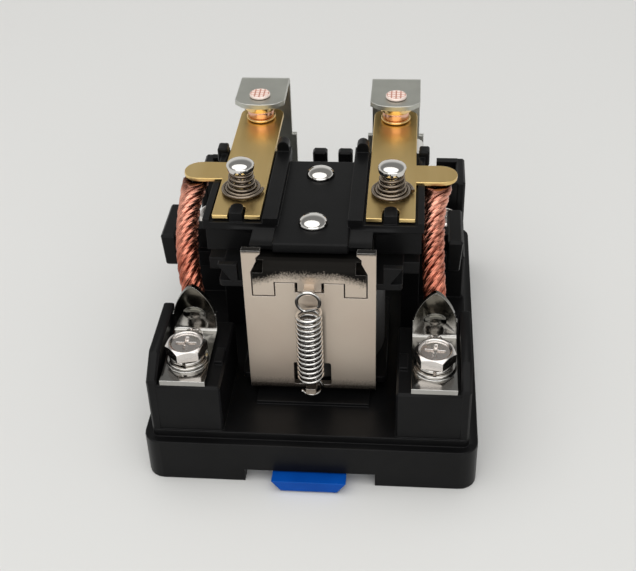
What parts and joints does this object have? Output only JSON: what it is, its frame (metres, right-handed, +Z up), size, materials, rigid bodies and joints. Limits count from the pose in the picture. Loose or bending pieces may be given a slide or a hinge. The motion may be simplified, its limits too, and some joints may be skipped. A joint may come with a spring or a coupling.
{
  "type": "power relay",
  "caption": "Open-frame clapper relay with changeover contacts, a coil, screw terminals, copper braids and a rail-mount base with a sliding latch.",
  "frame": {"origin": "middle of the bounding box at the base's underside, on the face that rests on a panel", "axes": "+Z up away from the mounting surface, +Y from the common terminals and latch towards the normally closed terminals, +X to the right seen from the latch end"},
  "size_m": [0.076, 0.095, 0.0635],
  "materials": {
    "black_moulding": "satin",
    "blue_moulding": "satin",
    "nickelled_steel": "satin",
    "bright_nickel": "bright",
    "zinc_plate": "matte",
    "pale_brass": "satin",
    "copper_braid": "satin copper",
    "contact_alloy": "satin",
    "spring_wire": "satin",
    "winding_tape": "satin"
  },
  "bodies": {
    "frame": {"base": "black_moulding", "latch_spring": "spring_wire", "yoke": "nickelled_steel", "core": "zinc_plate", "bobbin": "black_moulding", "winding": "winding_tape", "return_spring": "bright_nickel", "nc_bracket_left": "zinc_plate", "nc_contact_left": "contact_alloy", "no_plate_left": "bright_nickel", "no_contact_left": "contact_alloy", "braid_left": "copper_braid", "common_plate_left": "bright_nickel", "common_washer_left": "bright_nickel", "common_spring_washer_left": "bright_nickel", "common_screw_left": "bright_nickel", "no_washer_left": "bright_nickel", "no_screw_left": "bright_nickel", "nc_washer_left": "bright_nickel", "nc_screw_left": "bright_nickel", "fixing_screw_left": "bright_nickel", "coil_terminal_left": "bright_nickel", "coil_screw_left": "bright_nickel", "nc_bracket_right": "zinc_plate", "nc_contact_right": "contact_alloy", "no_plate_right": "bright_nickel", "no_contact_right": "contact_alloy", "braid_right": "copper_braid", "common_plate_right": "bright_nickel", "common_washer_right": "bright_nickel", "common_spring_washer_right": "bright_nickel", "common_screw_right": "bright_nickel", "no_washer_right": "bright_nickel", "no_screw_right": "bright_nickel", "nc_washer_right": "bright_nickel", "nc_screw_right": "bright_nickel", "fixing_screw_right": "bright_nickel", "coil_terminal_right": "bright_nickel", "coil_screw_right": "bright_nickel"},
    "armature": {"armature": "nickelled_steel", "carrier": "black_moulding", "carrier_rivet_front": "bright_nickel", "carrier_rivet_rear": "bright_nickel", "arm_stud_left": "bright_nickel", "arm_stud_right": "bright_nickel", "contact_spring_left": "spring_wire", "contact_spring_right": "spring_wire"},
    "contact_arm_left": {"contact_arm_left": "pale_brass", "moving_contact_left": "contact_alloy"},
    "contact_arm_right": {"contact_arm_right": "pale_brass", "moving_contact_right": "contact_alloy"},
    "latch": {"din_latch": "blue_moulding"}
  },
  "joints": [
    {"name": "armature_hinge", "type": "hinge", "parent": "frame", "child": "armature", "pos_m": [0, -0.02895, 0.04625], "axis": [-1, 0, 0], "range_deg": [0, 3.5], "stiffness_Nm_per_rad": 0.5, "springref_deg": -5.73, "deforming": ["return_spring", "braid_left", "braid_right"]},
    {"name": "arm_lift_left", "type": "hinge", "parent": "armature", "child": "contact_arm_left", "pos_m": [-0.01715, -0.0171, 0.0545], "axis": [-1, 0, 0], "range_deg": [-0.35, 0]},
    {"name": "arm_lift_right", "type": "hinge", "parent": "armature", "child": "contact_arm_right", "pos_m": [0.01715, -0.0171, 0.0545], "axis": [-1, 0, 0], "range_deg": [-0.35, 0]},
    {"name": "latch_slide", "type": "slide", "parent": "frame", "child": "latch", "axis": [0, -1, 0], "range_m": [0, 0.004], "stiffness_N_per_m": 300, "springref_m": -0.004, "deforming": ["latch_spring"]}
  ],
  "couplings": [
    {"joint": "arm_lift_left", "follows": "armature_hinge", "ratio": -0.1},
    {"joint": "arm_lift_right", "follows": "armature_hinge", "ratio": -0.1}
  ]
}
